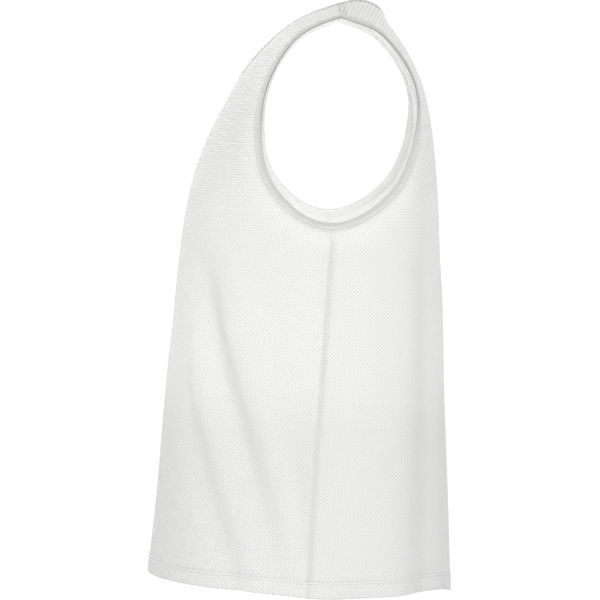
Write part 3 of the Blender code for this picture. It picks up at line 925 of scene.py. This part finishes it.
def make_threads(name, rows, material):
    """One mesh of many rows of threads."""
    centres, along, up, lengths = (np.concatenate(parts)[:, None] for parts in zip(*rows))
    shape, faces = STITCH
    sideways = unit(np.cross(along, up))
    up = np.cross(sideways, along)
    vertices = (centres
                + along * (lengths * shape[:, 0] / 2)[:, :, None]
                + sideways * (THREAD * shape[:, 1])[:, None]
                + up * (THREAD_FLATNESS * THREAD * shape[:, 2])[:, None])
    copies = np.arange(len(centres)) * len(shape)
    faces = (faces + copies[:, None, None]).reshape(-1, 4)
    return make_piece(name, make_mesh(name, vertices.reshape(-1, 3), faces), material)


def band_stitches(name, strip, material):
    """Twin needle rows outside, and the looper's zigzag inside."""
    outside, inside = [], []
    for distance, height in BAND_NEEDLES:
        line = closed(strip.place(distance, height))
        outside.append(running_stitches(line, closed(strip.facing(distance))))
        inside.append(closed(strip.place(distance, -height - THREAD_LIFT)))
    zigzag = slanted_stitches(*inside, closed(-strip.normals), STITCH_PITCH)
    return make_threads(name, outside + [zigzag], material)


def hem_line(halves, panel, height):
    """Points and normals across a panel at a height over its hem, from right to left."""
    right, left = (
        np.stack([read_at(half.rows, part, height) for part in (half.grid, half.normals)])
        for half in (halves[panel, -1], halves[panel, 1]))
    line, normals = np.hstack((right[:, ::-1], left[:, 1:]))
    return line, unit(normals)


def hem_stitches(name, halves, panel, material):
    """Twin needle rows round the hem, and the zigzag over its raw edge inside."""
    outside, inside = [], []
    face = HEM_LAYER + CLOTH / 2
    for height in HEM_NEEDLES:
        line, normals = hem_line(halves, panel, height)
        outside.append(running_stitches(line + normals * (face + THREAD_LIFT), normals))
        inside.append(line - normals * (face + LOOPER_LIFT))
    zigzag = slanted_stitches(*inside, -normals, STITCH_PITCH)
    return make_threads(name, outside + [zigzag], material)


def allowance_stitches(name, half, kind, material):
    """The overlocked edge of a seam's allowance."""
    line, normals, inward = seam_line(half, kind)
    sides = [line + inward * distance - normals * OVERLOCK_DEPTH for distance in OVERLOCK_SIDES]
    return make_threads(name, [slanted_stitches(*sides, -normals, OVERLOCK_PITCH)], material)


# ---- materials

def operator(operation):
    return lambda value, other: value.math(operation, other)


class Value:
    """A shader socket that takes part in Python expressions."""

    __add__ = __radd__ = operator("ADD")
    __sub__ = operator("SUBTRACT")
    __mul__ = operator("MULTIPLY")
    __truediv__ = operator("DIVIDE")

    def __init__(self, paint, socket):
        self.paint = paint
        self.socket = socket

    def beside(self, output):
        """Another output of the same node."""
        return Value(self.paint, self.socket.node.outputs[output])

    def math(self, operation, *others):
        return self.paint.node("ShaderNodeMath", {"operation": operation}, (self, *others))

    def __rsub__(self, other):
        return self.paint.node("ShaderNodeMath", {"operation": "SUBTRACT"}, (other, self))

    def step(self, low, high):
        """0 below low, 1 above high and smooth between."""
        return self.paint.node("ShaderNodeMapRange", {"interpolation_type": "SMOOTHSTEP"},
                               (self, low, high, 0.0, 1.0))

    def fade(self, low, high):
        """1 below low, 0 above high and smooth between."""
        return 1 - self.step(low, high)

    def wave(self, pitch):
        """Up to 1 and down to 0 once in each pitch."""
        return (self * (TURN / pitch)).math("SINE") * 0.5 + 0.5

    def lines(self, first, second, half_width):
        """1 at two values, 0 beside them."""
        one, other = ((self - middle).math("ABSOLUTE").fade(half_width * 0.4, half_width)
                      for middle in (first, second))
        return one + other


class Paint:
    """Builds the nodes of one material, or of the world."""

    def __init__(self, owner):
        owner.use_nodes = True
        self.owner = owner
        self.tree = owner.node_tree

    def put(self, socket, value):
        if isinstance(value, Value):
            self.tree.links.new(value.socket, socket)
        else:
            socket.default_value = value

    def node(self, kind, settings, inputs, output=0):
        """Adds a node: its settings first, then the values or links of its sockets."""
        made = self.tree.nodes.new(kind)
        for name, setting in settings.items():
            setattr(made, name, setting)
        pairs = inputs.items() if isinstance(inputs, dict) else enumerate(inputs)
        for key, value in pairs:
            self.put(made.inputs[key], value)
        return Value(self, made.outputs[output])

    def blend(self, share, low, high):
        return self.node("ShaderNodeMix", {"data_type": "RGBA"}, {0: share, 6: low, 7: high}, 2)

    def bump(self, height, strength=1.0, distance=1.0):
        return self.node("ShaderNodeBump", {},
                         {"Strength": strength, "Distance": distance, "Height": height})

    def cut_places(self):
        """Distances across and along the cloth in its flat cut."""
        cut = self.node("ShaderNodeUVMap", {"uv_map": "cut"}, ())
        across = self.node("ShaderNodeSeparateXYZ", {}, (cut,))
        return across, across.beside(1)

    def own_place(self):
        return self.node("ShaderNodeTexCoord", {}, (), 3)

    def back_and_up(self):
        """Distances towards the back and upwards in the bib's own frame."""
        back = self.node("ShaderNodeSeparateXYZ", {}, (self.own_place(),), 1)
        return back, back.beside(2)

    def finish(self, shader="Principled BSDF", **values):
        """Sets the inputs of a node that the tree began with."""
        for name, value in values.items():
            self.put(self.tree.nodes[shader].inputs[name.replace("_", " ")], value)
        return self.owner

    def finish_cloth(self, colour, height, glow, **values):
        """Finishes a dull cloth that lets a share of the light pass softly through."""
        self.finish(Base_Color=colour, Roughness=0.75, Normal=self.bump(height), Sheen_Weight=0.1,
                    Sheen_Roughness=0.5, Specular_IOR_Level=0.3, **values)
        own = Value(self, self.tree.nodes["Principled BSDF"].outputs[0])
        through = self.node("ShaderNodeBsdfTranslucent", {}, (colour,))
        return self.mix(glow, own, through)

    def mix(self, share, one, other):
        """Shows a mixture of two shaders."""
        mixed = self.node("ShaderNodeMixShader", {}, (share, one, other))
        return self.finish("Material Output", Surface=mixed)


def eyelets(across, along):
    """Distance to the nearest eyelet's middle, in a staggered lattice of slanted eyelets."""
    distances = []
    for shift in (0.0, 0.5):
        x, y = (((place / cell + shift).math("FRACT") - 0.5) * cell
                for place, cell in zip((across, along), EYELET_CELL))
        x = x - y * EYELET_SLANT
        distances.append((x * x + y * y).math("SQRT"))
    return distances[0].math("MINIMUM", distances[1])


def drawn_courses(back, up, above_hem, level):
    """The courses where the shoulders draw the knit, and their share there."""
    if not level:
        turned = (up - FAN_MIDDLE[1]).math("ARCTAN2", back - FAN_MIDDLE[0])
        return turned.wave(FAN_COURSE), above_hem.step(*FAN_ZONE), 0.0
    turning = up.step(*LEVEL_TURNING)
    share = above_hem.step(*LEVEL_ZONE) * (1 - turning)
    return up.wave(LEVEL_COURSE), share, turning * (1 - turning) * 4


def mesh_cloth(name, white, shade, level):
    """White warp-knit mesh with small open eyelets, drawn in at the rows of stitches. Its eyelets,
    stitch grooves, hem fold, shoulder seams, neck edge and allowances carry painted shade, and its
    inner wall near the openings painted light.
    """
    paint = Paint(bpy.data.materials.new(name))
    across, along = paint.cut_places()
    back, up = paint.back_and_up()
    above_hem, from_seam, from_edge, from_neck, allowance, inner_wall = (
        paint.node("ShaderNodeAttribute", {"attribute_name": mark}, (), 2)
        for mark in (*MARKS, "inner_wall"))
    # The doubled hem hides part of the eyelets' painted shade and is painted a little lighter.
    doubled = above_hem.fade(*DOUBLED_REACH)
    # Painted light: the inner wall near the openings, with its eyelets' shade covered.
    facing = from_edge.fade(*INSIDE_LIGHT_REACH) * inner_wall * INSIDE_LIGHT_COVER
    # The zone high on the body whose courses carry relief, painted shade and painted contrast.
    drawn = above_hem.step(*DRAWN_ZONE)
    distance = eyelets(across, along)
    rim = distance.step(*EYELET_RIM)
    hidden = (doubled * DOUBLED_COVER).math("MAXIMUM", facing).math("MAXIMUM", drawn * DRAWN_COVER)
    pulled, share, calm = drawn_courses(back, up, above_hem, level)
    course = along.wave(EYELET_CELL[1]) * (1 - share) + pulled * share
    course = course * (1 - calm) + calm * 0.5
    # Painted shade in the grooves along the hem's and the bindings' needle rows, beside their real
    # relief.
    needle = -BAND_NEEDLES[1][0]
    sewn = (above_hem.lines(*(height - 0.7 * MM for height in HEM_NEEDLES), 0.9 * MM)
            + from_edge.lines(needle - NEEDLE_GAP, needle + NEEDLE_GAP, 0.7 * MM))
    # Painted shade along the hem's folded bottom edge.
    folded = above_hem.fade(*HEM_FOLD_SHADE_REACH)
    # Painted shade along the shoulder seams.
    shoulder_seam_shade = from_seam.fade(*SEAM_SHADE_REACH) * up.step(*SEAM_SHADE_HEIGHTS)
    # Painted shade along the neck edge, deeper higher up.
    neck_line_shade = from_neck.fade(*NECK_LINE_REACH) * up.step(*NECK_LINE_HEIGHTS)
    height = (rim * RIM_RELIEF * MM + across.wave(WALE) * WALE_RELIEF * MM
              + course * (COURSE_RELIEF + drawn * DRAWN_RELIEF) * MM - sewn * SEWN_RELIEF * MM)
    tone = (PLAIN + course * (COURSE_TONE + drawn * PAINTED_DRAWN_COURSE_CONTRAST) + drawn * PAINTED_DRAWN_SHADE
            + doubled * PAINTED_DOUBLED_LIGHT + sewn * PAINTED_STITCH_SHADE + folded * PAINTED_HEM_FOLD_SHADE
            # painted shade over the back's allowances, where less light comes through two layers
            + shoulder_seam_shade * PAINTED_SHOULDER_SEAM_SHADE + neck_line_shade * PAINTED_NECK_LINE_SHADE + allowance * PAINTED_ALLOWANCE_SHADE)
    # The eyelets' rims take the shade tone, a painted shade for the darker inside seen through
    # them.
    colour = paint.blend(tone, BLACK, paint.blend(rim.math("MAXIMUM", hidden), shade, white))
    # The inner wall near the openings is painted lighter.
    colour = paint.blend(facing, colour, PAINTED_INSIDE_LIGHT_TONE)
    return paint.finish_cloth(colour, height, MESH_GLOW, Alpha=distance.step(*EYELET_OPEN))


def band_cloth(kind):
    """The same mesh folded double, with painted shade at its fold, most of all at the shoulder."""
    paint = Paint(bpy.data.materials.new(kind + "_cloth"))
    across, along = paint.cut_places()
    _back, up = paint.back_and_up()
    (low, high), zone, side_shade = TAPE_FOLD_SHADES[kind]
    girth = reach_along(BAND_RIM)
    needle, tip = float(girth[BAND_RIM_NEEDLE]), float(girth[BAND_RIM_TIP])
    # The inner flap, painted lighter.
    inside = along.step(tip - 0.5 * MM, tip + 0.4 * MM)
    # Painted shade at the fold, deeper higher up, and over the rest of the outer side.
    depth = up.step(*zone) * (high - low) + low
    to_tip = tip - along
    fold, side = to_tip.fade(*TAPE_FOLD_SHADE_REACH), to_tip.fade(*TAPE_SIDE_SHADE_REACH)
    # The needle rows' grooves: real relief and painted shade.
    sewn = along.lines(needle - NEEDLE_GAP, needle + NEEDLE_GAP, 0.6 * MM)
    # The eyelets' relief, and a painted shade in them on the outer side.
    rim = eyelets(across, along).step(0.3 * MM, 1.3 * MM)
    height = ((rim * TAPE_RIM_RELIEF * MM + across.wave(2 * WALE) * TAPE_WALE_RELIEF * MM)
              * (1 - inside * 0.7) - sewn * TAPE_SEWN_RELIEF * MM)
    outside = 1 - inside
    tone = (TAPE_PLAIN + inside * PAINTED_TAPE_INSIDE_LIGHT - (fold * depth + side * side_shade) * outside
            + sewn * PAINTED_TAPE_STITCH_SHADE + (1 - rim) * outside * PAINTED_TAPE_EYELET_SHADE)
    return paint.finish_cloth(paint.blend(tone, BLACK, TAPE_TONE), height, TAPE_GLOW)


def sewing_thread():
    """Spun white polyester thread."""
    paint = Paint(bpy.data.materials.new("sewing_thread"))
    noise = paint.node("ShaderNodeTexNoise", {},
                       {"Vector": paint.own_place(), "Scale": 1400.0, "Detail": 2.0})
    return paint.finish(Base_Color=THREAD_TONE, Roughness=0.5, Sheen_Weight=0.15,
                        Normal=paint.bump(noise, 0.6, 0.2 * MM))


# ---- studio

def make_floor(low):
    """A floor that the camera sees as plain white and that lights the bib from below."""
    bpy.ops.mesh.primitive_plane_add(size=FLOOR_SIZE, location=(0, 0, low.z - FLOOR_DROP))
    floor = bpy.context.object
    floor.name = "studio_floor"
    paint = Paint(bpy.data.materials.new("studio_floor"))
    seen = paint.node("ShaderNodeLightPath", {}, ())
    glow, white = (paint.node("ShaderNodeEmission", {}, (WHITE, strength))
                   for strength in (FLOOR_LIGHT, BACKDROP))
    floor.data.materials.append(paint.mix(seen, glow, white))


def make_world():
    paint = Paint(bpy.data.worlds.new("studio"))
    seen = paint.node("ShaderNodeLightPath", {}, ())
    strength = paint.node("ShaderNodeMapRange", {}, (seen, 0.0, 1.0, WORLD_LIGHT, BACKDROP))
    bpy.context.scene.world = paint.finish("Background", Color=WHITE, Strength=strength)


def stand(name, data, place, facing):
    """Puts a lamp or a camera in its place."""
    made = add_object(name, data)
    made.location = place
    made.rotation_mode = "QUATERNION"
    made.rotation_quaternion = facing
    return made


def outwards(turn, rise):
    """The way out from the bib, turned from its left side towards its front and raised."""
    return Vector((math.cos(turn) * math.cos(rise), -math.sin(turn) * math.cos(rise),
                   math.sin(rise)))


def make_lamps(centre):
    for name, turn, rise, distance, size, power in LAMPS:
        lamp = bpy.data.lights.new(name, "AREA")
        lamp.size = size
        lamp.energy = power
        away = outwards(math.radians(turn), math.radians(rise))
        holder = stand(name, lamp, centre + away * distance, away.to_track_quat("Z", "Y"))
        holder.visible_camera = False


def make_camera(centre):
    lens = bpy.data.cameras.new("camera")
    lens.lens = CAMERA_LENS
    lens.sensor_width = CAMERA_SENSOR
    away = outwards(0, CAMERA_ELEVATION)
    place = centre + CAMERA_AIM + away * CAMERA_DISTANCE
    bpy.context.scene.camera = stand("camera", lens, place, (-away).to_track_quat("-Z", "Y"))


# ---- the bib

def declare(piece, node=None):
    if node:
        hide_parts(node)
    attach(piece, "root")
    return piece


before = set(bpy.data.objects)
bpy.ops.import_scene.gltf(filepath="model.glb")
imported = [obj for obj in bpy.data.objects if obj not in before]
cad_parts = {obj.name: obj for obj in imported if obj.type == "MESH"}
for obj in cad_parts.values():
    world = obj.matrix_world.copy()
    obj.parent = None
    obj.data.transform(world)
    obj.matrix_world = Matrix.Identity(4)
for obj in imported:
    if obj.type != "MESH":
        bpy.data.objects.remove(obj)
cad_low, cad_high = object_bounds()
bpy.ops.object.select_all(action="DESELECT")

# The front's copy is painted lighter between its eyelets and darker in them than the back's, as the
# light falls on it.
cloth = {"front": mesh_cloth("front_mesh", *FRONT_TONES, True),
         "back": mesh_cloth("back_mesh", *BACK_TONES, False)}
tape = {kind: band_cloth(kind) for kind in BANDS}
thread = sewing_thread()

STITCH = stitch_shape()
halves = make_halves()
neck = neck_edge(halves)
armholes = {side: armhole_edge(halves, side) for side in (1, -1)}
for (_panel, side), half in halves.items():
    half.measure(armholes[side][0], neck[0])

for panel in ("front", "back"):
    pair = halves[panel, 1], halves[panel, -1]
    width, length, area = flat_cut(pair, panel + "_flat")
    piece = make_cloth(panel + "_cloth", pair, cloth[panel])
    declare(piece, panel + "_panel")
    flap = HEM_FLAP * width * FLAP_AREA_SHARE
    length + HEM_FLAP
    area + flap

# The pieces sewn to each sheet, gathered by panel.
sewn = {"front": [], "back": []}
for name, node, lines in (("neck", "neck_binding", neck),
                          ("armhole_left", "armhole_binding_left", armholes[1]),
                          ("armhole_right", "armhole_binding_right", armholes[-1])):
    kind = name.split("_")[0]
    strip = Strip(kind, lines)
    sewn["front"] += [
        declare(make_band(name + "_band", strip, tape[kind]), node),
        declare(band_stitches(name + "_stitches", strip, thread))]
for panel in ("front", "back"):
    stitches = hem_stitches(panel + "_hem_stitches", halves, panel, thread)
    sewn[panel].append(declare(stitches))
for kind in ("side", "shoulder"):
    for name, side in (("left", 1), ("right", -1)):
        seam, half = f"{kind}_seam_{name}", halves["back", side]
        sewn["back"] += [
            declare(make_allowance(seam, half, kind, cloth["back"])),
            declare(allowance_stitches(seam + "_stitches", half, kind, thread))]

centre = (cad_low + cad_high) / 2
make_floor(cad_low)
make_world()
make_lamps(centre)
make_camera(centre)
bpy.context.scene.view_settings.view_transform = "Standard"
